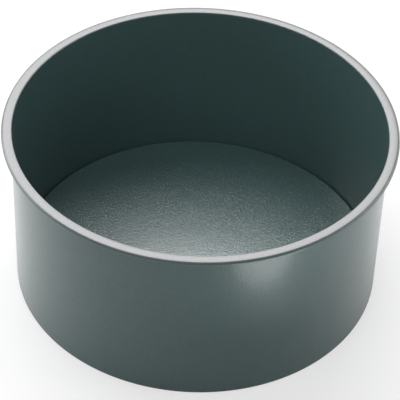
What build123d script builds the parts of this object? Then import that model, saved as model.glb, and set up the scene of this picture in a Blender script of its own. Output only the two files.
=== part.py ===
from build123d import *
import os

# Round cake tin with a loose base, in millimetres. It stands on the XY plane
# with +Z up, and its axis is the Z axis.

# Tin body: one coated steel sheet that makes the wall, the rim and the ledge.
MOUTH_DIAMETER = 180.0  # clear width inside the wall, the size the tin is known by
TIN_HEIGHT = 90.0  # table to the top of the rim
BODY_SHEET = 0.7  # thickness of the sheet

# Rolled rim: the sheet's edge is curled outwards and pressed flat.
RIM_WIDTH = 5.2  # inside of the wall to the outermost edge
RIM_HEIGHT = 2.2  # top to underside
RIM_BEND = 0.9  # outside radius of its three bends
RIM_TAIL_GAP = 0.3  # free space between the curl's raw edge and the wall

# Ledge: the bottom of the wall is turned inwards to carry the base.
LEDGE_WIDTH = 9.0  # inside of the wall to the ledge's raw edge
LEDGE_BEVEL = 0.5  # the corner between wall and ledge is pressed to a bevel

# Loose base: a flat tray with its edge turned down, which stands on the ledge.
BASE_SHEET = 0.8  # thickness of its sheet
BASE_DEPTH = 3.2  # ledge to the tray's top face
BASE_BEVEL = 0.5  # the corner of the turned edge, likewise
BASE_CLEARANCE = 0.6  # free space between the skirt and the wall, all round


def turned(section):
    """Solid turned about the Z axis from a closed section.

    The section lists its corners in order, each as its distance from the axis,
    its height and the radius of its bend, which is zero where it is sharp.
    """
    corners = [(distance, height) for distance, height, bend in section]
    bends = [bend for distance, height, bend in section]
    with BuildPart() as solid:
        with BuildSketch(Plane.XZ):
            with BuildLine():
                FilletPolyline(corners, radius=bends, close=True)
            make_face()
        revolve(axis=Axis.Z)
    return solid.part


def tin_body():
    """Wall, rolled rim and ledge, all of one sheet."""
    wall_inside = MOUTH_DIAMETER / 2
    wall_outside = wall_inside + BODY_SHEET
    ledge_edge = wall_inside - LEDGE_WIDTH
    rim_outside = wall_inside + RIM_WIDTH
    rim_underside = TIN_HEIGHT - RIM_HEIGHT
    curl_end = rim_outside - RIM_BEND
    tail_edge = wall_outside + RIM_TAIL_GAP

    # The skin that faces into the tin goes over the rim and under its curl.
    inner_skin = [
        (ledge_edge, BODY_SHEET, 0),
        (wall_inside, BODY_SHEET, 0),
        (wall_inside, TIN_HEIGHT, RIM_BEND),
        (rim_outside, TIN_HEIGHT, RIM_BEND),
        (rim_outside, rim_underside, RIM_BEND),
        (tail_edge, rim_underside, 0),
    ]
    # The other skin lines the curl's flat hollow and runs down the outside.
    outer_skin = [
        (tail_edge, rim_underside + BODY_SHEET, 0),
        (curl_end, rim_underside + BODY_SHEET, 0),
        (curl_end, TIN_HEIGHT - BODY_SHEET, 0),
        (wall_outside, TIN_HEIGHT - BODY_SHEET, 0),
        (wall_outside, LEDGE_BEVEL, 0),
        (wall_outside - LEDGE_BEVEL, 0, 0),
        (ledge_edge, 0, 0),
    ]
    return turned(inner_skin + outer_skin)


def loose_base():
    """Flat round tray: a disc whose edge is turned down into a short skirt."""
    skirt_outside = MOUTH_DIAMETER / 2 - BASE_CLEARANCE
    skirt_inside = skirt_outside - BASE_SHEET
    top = BODY_SHEET + BASE_DEPTH
    return turned(
        [
            (0, top, 0),
            (skirt_outside - BASE_BEVEL, top, 0),
            (skirt_outside, top - BASE_BEVEL, 0),
            (skirt_outside, BODY_SHEET, 0),
            (skirt_inside, BODY_SHEET, 0),
            (skirt_inside, top - BASE_SHEET, 0),
            (0, top - BASE_SHEET, 0),
        ]
    )


os.makedirs("parts", exist_ok=True)
export_step(tin_body(), "parts/tin_body.step")
export_step(loose_base(), "parts/loose_base.step")
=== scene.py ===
"""Round cake tin with a loose base: its meshes, finishes, light and camera.

Lengths are in metres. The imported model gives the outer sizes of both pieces,
and the dataclasses hold the sizes of the sheet that each piece is bent from.
"""

import logging
import math
from dataclasses import dataclass
from enum import Enum
from typing import Any

import bpy
from mathutils import Matrix, Vector


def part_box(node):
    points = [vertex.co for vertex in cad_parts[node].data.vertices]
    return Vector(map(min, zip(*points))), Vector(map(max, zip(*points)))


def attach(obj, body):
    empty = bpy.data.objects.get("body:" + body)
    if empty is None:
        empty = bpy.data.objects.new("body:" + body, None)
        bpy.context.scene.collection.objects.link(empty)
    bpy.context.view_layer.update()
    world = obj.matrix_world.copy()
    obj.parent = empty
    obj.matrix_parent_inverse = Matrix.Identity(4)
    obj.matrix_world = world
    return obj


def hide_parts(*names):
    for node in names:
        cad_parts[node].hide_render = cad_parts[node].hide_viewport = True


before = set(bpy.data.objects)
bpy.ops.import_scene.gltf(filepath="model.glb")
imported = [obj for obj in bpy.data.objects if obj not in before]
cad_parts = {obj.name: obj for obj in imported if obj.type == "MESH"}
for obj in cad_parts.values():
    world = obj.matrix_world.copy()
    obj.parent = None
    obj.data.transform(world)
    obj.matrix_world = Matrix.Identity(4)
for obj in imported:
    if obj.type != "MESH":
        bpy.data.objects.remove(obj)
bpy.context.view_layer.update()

LOG = logging.getLogger("cake_tin")
MM = 0.001
RAW_EDGE = "raw_edge"

Colour = tuple[float, float, float]
Span = tuple[float, float]
WHITE: Colour = (1.0, 1.0, 1.0)


class Body(Enum):
    """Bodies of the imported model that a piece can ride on."""

    TIN = "tin"
    BASE = "base"


class Seen(Enum):
    """Rays that see the studio's white instead of its working light."""

    CAMERA = "Is Camera Ray"
    GLOSSY = "Is Glossy Ray"
    TRANSMISSION = "Is Transmission Ray"


class Wire:
    """A node socket that can stand in a Python expression."""

    def __init__(self, graph: "Graph", socket: bpy.types.NodeSocket) -> None:
        """Wraps a socket.

        Args:
            graph: The graph that the socket's node is in.
            socket: An output socket.
        """
        self.graph = graph
        self.socket = socket

    def math(self, operation: str, *values: "Value") -> "Wire":
        """Adds a Math node.

        Args:
            operation: The node's operation.
            values: Its inputs in order.

        Returns:
            The node's result.
        """
        return self.graph.node("ShaderNodeMath", {"operation": operation}, dict(enumerate(values)))

    def __add__(self, other: "Value") -> "Wire":
        """This value plus another."""
        return self.math("ADD", self, other)

    def __radd__(self, other: "Value") -> "Wire":
        """Another value plus this one."""
        return self.math("ADD", other, self)

    def __sub__(self, other: "Value") -> "Wire":
        """This value less another."""
        return self.math("SUBTRACT", self, other)

    def __rsub__(self, other: "Value") -> "Wire":
        """Another value less this one."""
        return self.math("SUBTRACT", other, self)

    def __mul__(self, other: "Value") -> "Wire":
        """This value times another."""
        return self.math("MULTIPLY", self, other)

    def __rmul__(self, other: "Value") -> "Wire":
        """Another value times this one."""
        return self.math("MULTIPLY", other, self)

    def __truediv__(self, other: "Value") -> "Wire":
        """This value divided by another."""
        return self.math("DIVIDE", self, other)

    def __lt__(self, other: "Value") -> "Wire":
        """1 where this value is less than another, else 0."""
        return self.math("LESS_THAN", self, other)

    def floor(self) -> "Wire":
        """The whole part of this value."""
        return self.math("FLOOR", self)

    def at_least(self, other: "Value") -> "Wire":
        """The larger of this value and another."""
        return self.math("MAXIMUM", self, other)

    def step_up(self, low: float, high: float) -> "Wire":
        """A smooth step.

        Args:
            low: Where the step starts, at 0.
            high: Where it ends, at 1.

        Returns:
            The step's value here.
        """
        return self.graph.node(
            "ShaderNodeMapRange",
            {"interpolation_type": "SMOOTHSTEP"},
            {"Value": self, "From Min": low, "From Max": high},
        )


Value = Wire | float | int
Paint = Wire | Colour


class Graph:
    """A node tree that is filled from Python."""

    def __init__(self, tree: bpy.types.NodeTree) -> None:
        """Wraps a tree.

        Args:
            tree: A shader or geometry tree.
        """
        self.tree = tree

    def node(
        self,
        kind: str,
        settings: dict[str, Any] | None = None,
        inputs: dict[str | int, Any] | None = None,
        output: str | int = 0,
    ) -> Wire:
        """Adds a node.

        Args:
            kind: The node's type.
            settings: Its own settings, which are set first.
            inputs: Values or wires of its sockets, by name or place.
            output: The socket that the result wraps, by name or place.

        Returns:
            The node's chosen output.
        """
        made = self.tree.nodes.new(kind)
        for name, value in (settings or {}).items():
            setattr(made, name, value)
        for key, value in (inputs or {}).items():
            if isinstance(value, Wire):
                self.tree.links.new(value.socket, made.inputs[key])
            else:
                made.inputs[key].default_value = value
        return Wire(self, made.outputs[output])

    def also(self, wire: Wire, output: str | int) -> Wire:
        """Another output of the node that a wire comes from."""
        return Wire(self, wire.socket.node.outputs[output])

    def finish(self, kind: str, inputs: dict[str | int, Any]) -> None:
        """Adds a node that has no outputs.

        Args:
            kind: The node's type.
            inputs: Wires of its sockets, by name or place.
        """
        made = self.tree.nodes.new(kind)
        for key, value in inputs.items():
            self.tree.links.new(value.socket, made.inputs[key])

    def mix(self, factor: Value, low: Paint, high: Paint) -> Wire:
        """Mixes two colours.

        Args:
            factor: The share of the second colour.
            low: The first colour.
            high: The second colour.

        Returns:
            The mixed colour.
        """
        # The node's sockets for colours come after those for numbers and vectors.
        settings = {"data_type": "RGBA", "clamp_factor": True}
        inputs = {0: factor, 6: rgba(low), 7: rgba(high)}
        return self.node("ShaderNodeMix", settings, inputs, 2)

    def noise(self, place: Wire, size: float, detail: float = 2.0, roughness: float = 0.5) -> Wire:
        """Adds a noise pattern.

        Args:
            place: The coordinates that it reads, in metres.
            size: The size of its features, in metres.
            detail: How many octaves it has.
            roughness: How strong the finer octaves are.

        Returns:
            Its value, from 0 to 1.
        """
        inputs = {"Vector": place, "Scale": 1 / size, "Detail": detail, "Roughness": roughness}
        return self.node("ShaderNodeTexNoise", {"noise_dimensions": "3D"}, inputs)


def rgba(colour: Paint) -> Wire | tuple[float, ...]:
    """A colour as a socket takes it."""
    return colour if isinstance(colour, Wire) else (*colour, 1.0)


def new_material(name: str) -> tuple[bpy.types.Material, Graph]:
    """Makes an empty material.

    Args:
        name: Its name.

    Returns:
        The material, and the graph of its nodes.
    """
    material = bpy.data.materials.new(name)
    material.use_nodes = True
    material.node_tree.nodes.clear()
    return material, Graph(material.node_tree)


@dataclass(frozen=True)
class NonStickCoating:
    """Satin dark coating with a fine pebbled grain, on sheet steel.

    Colours are linear, and lengths are in metres.

    Attributes:
        name: The material's name.
        coat: The coating's colour.
        coat_shift: What it clouds towards.
        painted_highlight_grey: A greyer colour painted on the rim's crest, where it is polished, so
            that the highlight there renders neutral grey rather than teal.
        rim_from: The height at which the polished coat and its painted highlight grey start. The
            default is above the tin.
        rim_blend: How far above that it is reached.
        rim_refraction: Its index of refraction.
        cloud_size: The size of the clouds.
        cloud_step: Where in their noise they start and are whole.
        speck: The metal specks' colour.
        speck_size: The size of the specks' cells.
        speck_share: The share of the cells that hold a speck.
        steel: The sheared steel's colour.
        steel_step: Where the steel starts and is whole, from 0 on the skin to
            1 on the sheared edge.
        roughness: The coating's roughness.
        patch_size: The size of the patches that it varies in.
        patch_spread: How far it varies.
        refraction: The coating's index of refraction.
        glaze_low: How strong its smooth upper layer is in the grain's pits,
            where 1 is its strength on the grain's tops.
        glaze_roughness: That layer's roughness.
        glaze_refraction: Its index of refraction.
        grain_size: The size of the grain in that layer.
        grain_step: Where in the grain's noise the pits end and the tops start.
        pebble_size: The size of the pebbles.
        pebble_depth: How far the pebbles stand up.
        rim_pebble_share: The share of that on the rim's crest.
        ripple_size: The size of the sheet's ripples.
        ripple_depth: How far the ripples stand up.
    """

    name: str
    coat: Colour = (0.060, 0.114, 0.112)
    coat_shift: Colour = (0.062, 0.115, 0.113)
    painted_highlight_grey: Colour = (0.058, 0.062, 0.066)
    rim_from: float = 1.0
    rim_blend: float = 0.6 * MM
    rim_refraction: float = 2.00
    cloud_size: float = 45 * MM
    cloud_step: Span = (0.35, 0.65)
    speck: Colour = (0.13, 0.18, 0.18)
    speck_size: float = 0.16 * MM
    speck_share: float = 0.05
    steel: Colour = (0.52, 0.50, 0.47)
    steel_step: Span = (0.4, 0.6)
    roughness: float = 0.36
    patch_size: float = 1.1 * MM
    patch_spread: float = 0.03
    refraction: float = 1.36
    glaze_low: float = 0.70
    glaze_roughness: float = 0.20
    glaze_refraction: float = 1.33
    grain_size: float = 0.58 * MM
    grain_step: Span = (0.35, 0.65)
    pebble_size: float = 0.62 * MM
    pebble_depth: float = 0.145 * MM
    rim_pebble_share: float = 0.1
    ripple_size: float = 30 * MM
    ripple_depth: float = 0.010 * MM

    def material(self) -> bpy.types.Material:
        """Builds the material.

        Returns:
            The material: dark coat and polished crest in one, with a highlight grey painted on the
                crest.
        """
        material, graph = new_material(self.name)
        place = graph.node("ShaderNodeTexCoord", output="Object")
        sheared = graph.node("ShaderNodeAttribute", {"attribute_name": RAW_EDGE}, {}, "Fac")
        raw = sheared.step_up(*self.steel_step)
        height = graph.node("ShaderNodeSeparateXYZ", {}, {"Vector": place}, "Z")
        rim = height.step_up(self.rim_from, self.rim_from + self.rim_blend)
        patches = graph.noise(place, self.patch_size, detail=3.0, roughness=0.6) - 0.5
        layers = {
            "Base Color": self.colour(graph, place, raw, rim),
            "Metallic": raw,
            "Roughness": self.roughness + self.patch_spread * patches,
            "Coat Weight": self.glaze(graph, place, rim),
            "Coat Roughness": self.glaze_roughness,
            "Coat IOR": self.glaze_refraction,
            "Normal": self.relief(graph, place, rim),
        }
        plain = graph.node("ShaderNodeBsdfPrincipled", {}, {**layers, "IOR": self.refraction})
        crest = graph.node("ShaderNodeBsdfPrincipled", {}, {**layers, "IOR": self.rim_refraction})
        surface = graph.node("ShaderNodeMixShader", {}, {0: rim, 1: plain, 2: crest})
        graph.finish("ShaderNodeOutputMaterial", {"Surface": surface})
        return material

    def glaze(self, graph: Graph, place: Wire, rim: Wire) -> Wire:
        """Builds the strength of the smooth upper layer, which the grain breaks up.

        Args:
            graph: The material's graph.
            place: Coordinates on the piece.
            rim: 1 on the rim's crest, where the layer is whole.

        Returns:
            The layer's strength.
        """
        grain = graph.noise(place, self.grain_size, detail=1.0, roughness=0.6)
        broken = self.glaze_low + (1 - self.glaze_low) * grain.step_up(*self.grain_step)
        return broken.at_least(rim)

    def colour(self, graph: Graph, place: Wire, raw: Wire, rim: Wire) -> Wire:
        """Builds the colour: a faintly clouded coat, a greyer painted highlight tone on the rim's
        crest, metal specks, and steel where it is sheared.

        Args:
            graph: The material's graph.
            place: Coordinates on the piece.
            raw: 1 on the sheared edge.
            rim: 1 on the rim's crest.

        Returns:
            The colour.
        """
        cell = graph.node(
            "ShaderNodeTexVoronoi",
            {"feature": "F1", "voronoi_dimensions": "3D"},
            {"Vector": place, "Scale": 1 / self.speck_size},
            "Color",
        )
        speck = graph.node("ShaderNodeSeparateColor", {}, {"Color": cell}) < self.speck_share
        cloud = graph.noise(place, self.cloud_size).step_up(*self.cloud_step)
        # The rim's crest gets a greyer colour painted on, so that its highlight renders neutral.
        coat = graph.mix(rim, graph.mix(cloud, self.coat, self.coat_shift), self.painted_highlight_grey)
        return graph.mix(raw, graph.mix(speck, coat, self.speck), self.steel)

    def relief(self, graph: Graph, place: Wire, rim: Wire) -> Wire:
        """Builds the relief: fine pebbles over long shallow ripples of the sheet.

        Args:
            graph: The material's graph.
            place: Coordinates on the piece.
            rim: 1 on the rim's crest, where the pebbles are pressed flatter.

        Returns:
            The surface's normal.
        """
        depth = self.pebble_depth * (1 - (1 - self.rim_pebble_share) * rim)
        pebble = graph.noise(place, self.pebble_size, detail=1.0) * depth
        ripple = graph.noise(place, self.ripple_size, detail=0.0) * self.ripple_depth
        return graph.node(
            "ShaderNodeBump", {}, {"Strength": 1.0, "Distance": 1.0, "Height": pebble + ripple}
        )


@dataclass(frozen=True)
class Corner:
    """A corner of a sheet's section, in metres.

    Attributes:
        x: Distance from the axis.
        z: Height.
        bend: Radius of the bend, zero for a sharp corner.
        steps: How many straight pieces the bend is made of.
        raw: Whether it lies on the sheet's sheared edge.
    """

    x: float
    z: float
    bend: float = 0.0
    steps: int = 1
    raw: bool = False

    @property
    def place(self) -> Vector:
        """The corner as a vector."""
        return Vector((self.x, self.z))


@dataclass(frozen=True)
class Section:
    """The section of a turned sheet piece, from its corners in order.

    Attributes:
        corners: The corners. Faces point to the left of their path.
        closed: Whether the last corner joins the first. An open section
            starts and ends on the axis.
    """

    corners: tuple[Corner, ...]
    closed: bool

    def bend_points(self, number: int) -> list[Vector]:
        """Points of one corner's bend.

        Args:
            number: The corner's place in the section.

        Returns:
            The bend's points in order, or the corner itself where it is sharp.
        """
        corner = self.corners[number]
        if not corner.bend:
            return [corner.place]
        before = (self.corners[number - 1].place - corner.place).normalized()
        after = (self.corners[(number + 1) % len(self.corners)].place - corner.place).normalized()
        half = before.angle(after) / 2
        reach = corner.bend / math.tan(half)
        middle = corner.place + (before + after).normalized() * corner.bend / math.sin(half)
        start, end = corner.place + before * reach - middle, corner.place + after * reach - middle
        turn = start.angle_signed(end)
        spokes = [Matrix.Rotation(-turn * i / corner.steps, 2) @ start for i in range(corner.steps + 1)]
        return [middle + spoke for spoke in spokes]

    def points(self) -> list[tuple[Vector, float]]:
        """Lists the section's points.

        Returns:
            All points in order, each with 1 on a sheared edge and 0 elsewhere.
        """
        found = []
        for number, corner in enumerate(self.corners):
            found += [(point, float(corner.raw)) for point in self.bend_points(number)]
        return found + found[:1] if self.closed else found

    def mesh(self, name: str) -> bpy.types.Mesh:
        """Makes the section's line as a mesh in the XZ plane.

        Args:
            name: The mesh's name.

        Returns:
            The mesh, whose points are in order and carry the sheared edge.
        """
        points = self.points()
        mesh = bpy.data.meshes.new(name)
        ends = [(i, i + 1) for i in range(len(points) - 1)]
        mesh.from_pydata([(point.x, 0.0, point.y) for point, _ in points], ends, [])
        raw = mesh.attributes.new(RAW_EDGE, "FLOAT", "POINT")
        raw.data.foreach_set("value", [value for _, value in points])
        return mesh


@dataclass(frozen=True)
class SheetLathe:
    """Geometry Nodes tree that turns a section about the Z axis.

    Attributes:
        steps: How many straight pieces make the round.
        weld: Points closer than this are joined, at the seam and on the axis.
        crease: Edges that turn more than this are shown sharp.
    """

    steps: int = 288
    weld: float = 0.001 * MM
    crease: float = math.radians(38)

    def tree(self) -> bpy.types.NodeTree:
        """Builds the tree.

        Returns:
            The tree, whose inputs are the section and this class's sizes.
        """
        tree = bpy.data.node_groups.new("sheet_lathe", "GeometryNodeTree")
        kinds = {
            "Section": "NodeSocketGeometry",
            "Steps": "NodeSocketInt",
            "Weld": "NodeSocketFloat",
            "Crease": "NodeSocketFloat",
            "Finish": "NodeSocketMaterial",
        }
        for name, kind in kinds.items():
            tree.interface.new_socket(name, in_out="INPUT", socket_type=kind)
        tree.interface.new_socket("Geometry", in_out="OUTPUT", socket_type="NodeSocketGeometry")
        graph = Graph(tree)
        section = graph.node("NodeGroupInput", output="Section")
        steps = graph.also(section, "Steps")
        count = graph.node(
            "GeometryNodeAttributeDomainSize", {"component": "MESH"}, {"Geometry": section}
        )
        # Each column of the grid becomes the section, turned by the column's angle.
        columns = steps + 1
        grid = graph.node(
            "GeometryNodeMeshGrid", {}, {"Vertices X": columns, "Vertices Y": count}, "Mesh"
        )
        index = graph.node("GeometryNodeInputIndex")
        column = (index / count).floor()
        row = index - column * count
        here = graph.node("GeometryNodeInputPosition")
        place = graph.node(
            "GeometryNodeSampleIndex",
            {"data_type": "FLOAT_VECTOR", "domain": "POINT"},
            {"Geometry": section, "Value": here, "Index": row},
        )
        raw_here = graph.node(
            "GeometryNodeInputNamedAttribute", {"data_type": "FLOAT"}, {"Name": RAW_EDGE}
        )
        raw = graph.node(
            "GeometryNodeSampleIndex",
            {"data_type": "FLOAT", "domain": "POINT"},
            {"Geometry": section, "Value": raw_here, "Index": row},
        )
        turned = graph.node(
            "ShaderNodeVectorRotate",
            {"rotation_type": "Z_AXIS"},
            {"Vector": place, "Angle": column / steps * math.tau},
        )
        shape = graph.node("GeometryNodeSetPosition", {}, {"Geometry": grid, "Position": turned})
        shape = graph.node(
            "GeometryNodeStoreNamedAttribute",
            {"data_type": "FLOAT", "domain": "POINT"},
            {"Geometry": shape, "Name": RAW_EDGE, "Value": raw},
        )
        shape = graph.node(
            "GeometryNodeMergeByDistance",
            {},
            {"Geometry": shape, "Distance": graph.also(section, "Weld")},
        )
        angle = graph.node("GeometryNodeInputMeshEdgeAngle")
        soft = graph.node(
            "FunctionNodeCompare",
            {"data_type": "FLOAT", "operation": "LESS_THAN"},
            {"A": angle, "B": graph.also(section, "Crease")},
        )
        shape = graph.node(
            "GeometryNodeSetShadeSmooth", {"domain": "EDGE"}, {"Geometry": shape, "Shade Smooth": soft}
        )
        shape = graph.node("GeometryNodeRealizeInstances", {}, {"Geometry": shape})
        shape = graph.node(
            "GeometryNodeSetMaterial",
            {},
            {"Geometry": shape, "Material": graph.also(section, "Finish")},
        )
        graph.finish("NodeGroupOutput", {"Geometry": shape})
        return tree

    def turn(self, name: str, section: Section, finish: bpy.types.Material) -> bpy.types.Object:
        """Turns a section into a finished object.

        Args:
            name: The object's name.
            section: The piece's section.
            finish: The piece's material.

        Returns:
            The object, a plain mesh with its place in its points.
        """
        tree = self.tree()
        blank = bpy.data.objects.new(name + "_section", section.mesh(name + "_section"))
        bpy.context.scene.collection.objects.link(blank)
        lathe = blank.modifiers.new("lathe", "NODES")
        lathe.node_group = tree
        values = {"Steps": self.steps, "Weld": self.weld, "Crease": self.crease, "Finish": finish}
        for item in tree.interface.items_tree:
            if item.name in values:
                lathe[item.identifier] = values[item.name]
        graph = bpy.context.evaluated_depsgraph_get()
        mesh = bpy.data.meshes.new_from_object(blank.evaluated_get(graph))
        blank.modifiers.remove(lathe)
        bpy.data.objects.remove(blank)
        mesh.name = name
        piece = bpy.data.objects.new(name, mesh)
        bpy.context.scene.collection.objects.link(piece)
        return piece


@dataclass(frozen=True)
class TinShell:
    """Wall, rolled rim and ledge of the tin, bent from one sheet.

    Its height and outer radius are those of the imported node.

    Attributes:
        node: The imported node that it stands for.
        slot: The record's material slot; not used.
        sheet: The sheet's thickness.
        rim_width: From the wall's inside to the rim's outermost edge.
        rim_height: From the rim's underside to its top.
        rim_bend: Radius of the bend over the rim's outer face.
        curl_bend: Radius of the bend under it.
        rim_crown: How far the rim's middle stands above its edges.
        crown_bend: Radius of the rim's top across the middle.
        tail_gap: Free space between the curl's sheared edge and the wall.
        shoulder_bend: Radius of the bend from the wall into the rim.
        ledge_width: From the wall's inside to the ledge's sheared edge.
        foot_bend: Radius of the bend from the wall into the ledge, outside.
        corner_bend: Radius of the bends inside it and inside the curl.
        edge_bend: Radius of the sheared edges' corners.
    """

    node: str = "tin_body"
    slot: str = "body_coating"
    sheet: float = 0.7 * MM
    rim_width: float = 5.2 * MM
    rim_height: float = 2.2 * MM
    rim_bend: float = 1.28 * MM
    curl_bend: float = 0.60 * MM
    rim_crown: float = 0.30 * MM
    crown_bend: float = 11.0 * MM
    tail_gap: float = 0.3 * MM
    shoulder_bend: float = 0.65 * MM
    ledge_width: float = 9.0 * MM
    foot_bend: float = 1.0 * MM
    corner_bend: float = 0.25 * MM
    edge_bend: float = 0.10 * MM

    def rim_crest(self) -> float:
        """How high the middle of the bend over the rim's outer face is."""
        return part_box(self.node)[1].z - self.rim_crown - self.rim_bend / 2

    def section(self) -> Section:
        """Draws the sheet's section, all round both of its skins.

        Returns:
            The section, from the ledge up the outside, over the rim and down
            the inside.
        """
        low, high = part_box(self.node)
        rim_out, top = high.x, high.z
        inside = rim_out - self.rim_width
        outside = inside + self.sheet
        ledge = inside - self.ledge_width
        under = top - self.rim_height
        tail = outside + self.tail_gap
        edge = top - self.rim_crown
        middle = (inside + rim_out) / 2
        hollow = rim_out - self.sheet
        return Section(
            (
                # The ledge, the foot and the wall's outside.
                Corner(ledge, low.z + self.sheet, self.edge_bend, steps=3, raw=True),
                Corner(ledge, low.z, self.edge_bend, steps=3, raw=True),
                Corner(ledge + self.corner_bend, low.z),
                Corner(outside, low.z, self.foot_bend, steps=8),
                # The lining of the curl's flat hollow, and the curl's sheared edge.
                Corner(outside, top - self.sheet, self.corner_bend, steps=4),
                Corner(hollow, top - self.sheet, self.corner_bend, steps=6),
                Corner(hollow, under + self.sheet, self.corner_bend, steps=6),
                Corner(tail + self.corner_bend, under + self.sheet),
                Corner(tail, under + self.sheet, self.edge_bend, steps=3, raw=True),
                Corner(tail, under, self.edge_bend, steps=3, raw=True),
                # The skin that shows: under the curl, over the rim and down the wall.
                Corner(tail + self.corner_bend, under),
                Corner(rim_out, under, self.curl_bend, steps=8),
                Corner(rim_out, edge, self.rim_bend, steps=8),
                Corner(middle, top, self.crown_bend, steps=10),
                Corner(inside, edge, self.shoulder_bend, steps=9),
                Corner(inside, low.z + self.sheet, self.corner_bend, steps=5),
                Corner(ledge + self.corner_bend, low.z + self.sheet),
            ),
            closed=True,
        )

    def build(self, lathe: SheetLathe, finish: bpy.types.Material) -> bpy.types.Object:
        """Builds the shell.

        Args:
            lathe: What turns its section.
            finish: Its material.

        Returns:
            The piece, riding on the tin's body.
        """
        piece = lathe.turn("tin_shell", self.section(), finish)
        return settle(piece, self.node, Body.TIN)


@dataclass(frozen=True)
class BaseTray:
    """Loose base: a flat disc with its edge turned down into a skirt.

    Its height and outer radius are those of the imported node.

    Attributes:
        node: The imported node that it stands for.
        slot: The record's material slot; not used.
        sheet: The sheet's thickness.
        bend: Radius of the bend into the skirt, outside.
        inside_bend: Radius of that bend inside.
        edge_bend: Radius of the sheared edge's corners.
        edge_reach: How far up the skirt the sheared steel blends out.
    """

    node: str = "loose_base"
    slot: str = "base_coating"
    sheet: float = 0.8 * MM
    bend: float = 0.35 * MM
    inside_bend: float = 0.2 * MM
    edge_bend: float = 0.10 * MM
    edge_reach: float = 0.25 * MM

    def section(self) -> Section:
        """Draws the sheet's section.

        Returns:
            The section, from the axis along the underside, round the skirt and
            back over the top.
        """
        low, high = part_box(self.node)
        out, top = high.x, high.z
        inner = out - self.sheet
        return Section(
            (
                Corner(0.0, top - self.sheet),
                Corner(inner, top - self.sheet, self.inside_bend, steps=4),
                Corner(inner, low.z + self.edge_reach),
                Corner(inner, low.z, self.edge_bend, steps=3, raw=True),
                Corner(out, low.z, self.edge_bend, steps=3, raw=True),
                Corner(out, low.z + self.edge_reach),
                Corner(out, top, self.bend, steps=9),
                Corner(0.0, top),
            ),
            closed=False,
        )

    def build(self, lathe: SheetLathe, finish: bpy.types.Material) -> bpy.types.Object:
        """Builds the base.

        Args:
            lathe: What turns its section.
            finish: Its material.

        Returns:
            The piece, riding on the base's body.
        """
        piece = lathe.turn("base_tray", self.section(), finish)
        return settle(piece, self.node, Body.BASE)


def settle(piece: bpy.types.Object, node: str, body: Body) -> bpy.types.Object:
    """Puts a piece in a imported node's place.

    Args:
        piece: The finished piece.
        node: The node that it stands for.
        body: The body that it rides on.

    Returns:
        The piece.
    """
    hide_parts(node)
    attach(piece, body.value)
    LOG.info("%s: %d faces, rides on %s", piece.name, len(piece.data.polygons), body.value)
    return piece


@dataclass(frozen=True)
class Softbox:
    """A soft lamp with an oval face, turned to the tin.

    Attributes:
        name: Its name.
        turn: Its direction in degrees, from +Y towards -X.
        lift: Its direction above the floor, in degrees.
        wide: Half the angle that it fills from side to side, in degrees.
        tall: Half the angle that it fills upwards, in degrees.
        radiance: How bright its face is, where 1 is white.
        mirrored: Whether gloss shows it.
        distance: How far away it hangs.
    """

    name: str
    turn: float
    lift: float
    wide: float
    tall: float
    radiance: float
    mirrored: bool = True
    distance: float = 1.6

    def hang(self) -> None:
        """Hangs the lamp."""
        half_wide = self.distance * math.tan(math.radians(self.wide))
        half_tall = self.distance * math.tan(math.radians(self.tall))
        data = bpy.data.lights.new(self.name, "AREA")
        data.shape = "ELLIPSE"
        data.size = 2 * half_wide
        data.size_y = 2 * half_tall
        face_area = math.pi * half_wide * half_tall
        data.energy = self.radiance * math.pi * face_area
        turn, lift = math.radians(self.turn), math.radians(self.lift)
        away = Vector(
            (-math.sin(turn) * math.cos(lift), math.cos(turn) * math.cos(lift), math.sin(lift))
        )
        lamp = bpy.data.objects.new(self.name, data)
        lamp.location = away * self.distance
        lamp.rotation_euler = away.to_track_quat("Z", "Y").to_euler()
        lamp.visible_camera = False
        lamp.visible_glossy = self.mirrored
        bpy.context.scene.collection.objects.link(lamp)


@dataclass(frozen=True)
class FloorCard:
    """A round reflector that lies on the floor and shines upwards.

    Attributes:
        name: Its name.
        x: Its place on the floor.
        y: Its place on the floor.
        radius: Its radius.
        radiance: How bright its face is, where 1 is white.
        height: How far above the floor its face is.
        spread: The angle that it shines into.
    """

    name: str
    x: float
    y: float
    radius: float
    radiance: float
    height: float = 1 * MM
    spread: float = math.radians(140)

    def lay(self) -> None:
        """Lays the card on the floor."""
        data = bpy.data.lights.new(self.name, "AREA")
        data.shape = "DISK"
        data.size = 2 * self.radius
        data.spread = self.spread
        face_area = math.pi * self.radius**2
        data.energy = self.radiance * math.pi * face_area
        card = bpy.data.objects.new(self.name, data)
        card.location = (self.x, self.y, self.height)
        card.rotation_euler = (math.pi, 0, 0)
        card.visible_camera = False
        bpy.context.scene.collection.objects.link(card)


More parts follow.
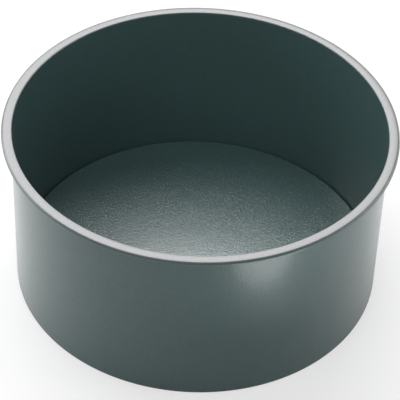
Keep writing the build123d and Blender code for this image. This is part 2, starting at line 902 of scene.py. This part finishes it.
@dataclass(frozen=True)
class Studio:
    """Plain pale floor, soft lamps and an even room.

    Its horizon is white, apart from the side that the camera stands on.

    Attributes:
        floor_half: Half the floor's side, in metres.
        floor_colour: Its paint where it is seen.
        floor_bounce: Its paint in the light that it throws back.
        floor_white: The share of plain white in the floor that the camera sees.
        mirrored_white: That share in the floor that gloss mirrors.
        floor_fade: How far from the tin's axis both start to rise, and where all
            is white.
        room_light: How bright the room is as light.
        ceiling: How bright its upper part is where it is seen.
        ceiling_step: The Z of a direction where the horizon ends, and where
            the ceiling is whole.
        front: How bright its horizon is on the camera's side.
        front_step: The Y of a direction where that side is whole, and where
            it ends.
        lamps: The lamps.
        card: The reflector at the front right.
    """

    floor_half: float = 4.0
    floor_colour: Colour = (0.94, 0.94, 0.94)
    floor_bounce: Colour = (0.30, 0.30, 0.30)
    floor_white: float = 0.55
    mirrored_white: float = 0.05
    floor_fade: Span = (0.10, 0.50)
    room_light: float = 0.18
    ceiling: float = 0.30
    ceiling_step: Span = (0.25, 0.55)
    front: float = 0.30
    front_step: Span = (-0.9, -0.1)
    lamps: tuple[Softbox, ...] = (
        Softbox("key", turn=18, lift=54, wide=33, tall=24, radiance=3.8),
        Softbox("top", turn=180, lift=80, wide=16, tall=16, radiance=2.0, mirrored=False),
        Softbox("fill_front", turn=160, lift=42, wide=25, tall=25, radiance=1.2, mirrored=False),
        Softbox("side_left", turn=75, lift=15, wide=25, tall=20, radiance=2.2),
        Softbox("side_right", turn=280, lift=15, wide=25, tall=20, radiance=1.8),
    )
    card: FloorCard = FloorCard("card", x=0.116, y=-0.192, radius=0.068, radiance=4.6)

    def build(self) -> None:
        """Builds the floor, the room and the lamps."""
        self.floor()
        self.room()
        for lamp in self.lamps:
            lamp.hang()
        self.card.lay()

    def seen_share(self, graph: Graph, camera: float = 1.0, mirrored: float = 1.0) -> Wire:
        """Picks out the rays that see the background, rather than the light itself.

        Args:
            graph: The material's graph.
            camera: The result for the camera's own rays.
            mirrored: The result for glossy and transmitted rays.

        Returns:
            The result, which is 0 for all other rays.
        """
        rays = graph.node("ShaderNodeLightPath", output=Seen.CAMERA.value)
        others = graph.also(rays, Seen.GLOSSY.value) + graph.also(rays, Seen.TRANSMISSION.value)
        return rays * camera + others * mirrored

    def floor(self) -> None:
        """Builds the floor."""
        half = self.floor_half
        corners = [(-half, -half, 0), (half, -half, 0), (half, half, 0), (-half, half, 0)]
        mesh = bpy.data.meshes.new("floor")
        mesh.from_pydata(corners, [], [(0, 1, 2, 3)])
        material, graph = new_material("floor")
        seen = self.seen_share(graph)
        colour = graph.mix(seen, self.floor_bounce, self.floor_colour)
        settings = {"Base Color": colour, "Roughness": 1.0, "Specular IOR Level": 0.0}
        paint = graph.node("ShaderNodeBsdfPrincipled", {}, settings)
        white = graph.node("ShaderNodeEmission", {}, {"Color": rgba(WHITE), "Strength": 1.0})
        place = graph.node("ShaderNodeTexCoord", output="Object")
        away = graph.node("ShaderNodeVectorMath", {"operation": "LENGTH"}, {0: place}, "Value")
        share = self.seen_share(graph, self.floor_white, self.mirrored_white)
        share = share + (seen - share) * away.step_up(*self.floor_fade)
        surface = graph.node("ShaderNodeMixShader", {}, {0: share, 1: paint, 2: white})
        graph.finish("ShaderNodeOutputMaterial", {"Surface": surface})
        mesh.materials.append(material)
        piece = bpy.data.objects.new("floor", mesh)
        bpy.context.scene.collection.objects.link(piece)

    def room(self) -> None:
        """Builds the room's even light, and the horizon that is seen in place of it."""
        world = bpy.data.worlds.new("room")
        world.use_nodes = True
        world.node_tree.nodes.clear()
        graph = Graph(world.node_tree)
        toward = graph.node("ShaderNodeTexCoord", output="Generated")
        height = graph.node("ShaderNodeSeparateXYZ", {}, {"Vector": toward}, "Z")
        shown = 1 - (1 - self.ceiling) * height.step_up(*self.ceiling_step)
        behind = graph.also(height, "Y").step_up(*self.front_step)
        shown = shown * (self.front + (1 - self.front) * behind)
        share = self.seen_share(graph)
        strength = self.room_light * (1 - share) + shown * share
        light = graph.node("ShaderNodeBackground", {}, {"Color": rgba(WHITE), "Strength": strength})
        graph.finish("ShaderNodeOutputWorld", {"Surface": light})
        bpy.context.scene.world = world


@dataclass(frozen=True)
class Viewpoint:
    """The camera, where the photograph was taken from.

    Attributes:
        target_height: The height on the tin's axis that it is first turned to.
        distance: How far from there it stands.
        lift: Its direction above the floor.
        roll: How far it is tilted about its line of sight, after both others.
        yaw: How far it is turned to the right.
        pitch: How far it is then turned upwards.
        lens: Its focal length in millimetres.
        sensor: Its sensor's width in millimetres.
    """

    target_height: float = 0.045
    distance: float = 0.918
    lift: float = math.radians(41.95)
    roll: float = math.radians(2.17)
    yaw: float = math.radians(0.06)
    pitch: float = math.radians(-0.16)
    lens: float = 167.2
    sensor: float = 36.0

    def build(self) -> None:
        """Builds the camera."""
        forward = Vector((0, math.cos(self.lift), -math.sin(self.lift)))
        right = Vector((1, 0, 0))
        place = Vector((0, 0, self.target_height)) - forward * self.distance
        up = right.cross(forward)
        forward, right = turned(forward, right, self.yaw)
        forward, up = turned(forward, up, self.pitch)
        right, up = turned(right, up, self.roll)
        data = bpy.data.cameras.new("camera")
        data.lens = self.lens
        data.sensor_width = self.sensor
        camera = bpy.data.objects.new("camera", data)
        axes = Matrix((right, up, -forward)).transposed()
        camera.matrix_world = Matrix.Translation(place) @ axes.to_4x4()
        bpy.context.scene.collection.objects.link(camera)
        bpy.context.scene.camera = camera


def turned(first: Vector, second: Vector, angle: float) -> tuple[Vector, Vector]:
    """Turns two perpendicular directions in their own plane.

    Args:
        first: The direction that turns towards the second.
        second: The other direction.
        angle: By how much.

    Returns:
        Both directions after the turn.
    """
    cos, sin = math.cos(angle), math.sin(angle)
    return first * cos + second * sin, second * cos - first * sin


def main() -> None:
    """Builds the camera, both pieces and the studio."""
    logging.basicConfig(level=logging.INFO, format="%(message)s")
    bpy.context.scene.view_settings.view_transform = "Standard"
    Viewpoint().build()
    lathe = SheetLathe()
    shell = TinShell()
    shell.build(lathe, NonStickCoating("body_coating", rim_from=shell.rim_crest()).material())
    base_coating = NonStickCoating(
        "base_coating",
        roughness=0.20,
        refraction=2.1,
        glaze_low=0.0,
        glaze_refraction=1.75,
        grain_size=0.65 * MM,
        pebble_size=0.70 * MM,
        pebble_depth=0.33 * MM,
    )
    BaseTray().build(lathe, base_coating.material())
    Studio().build()


if __name__ == "__main__":
    main()
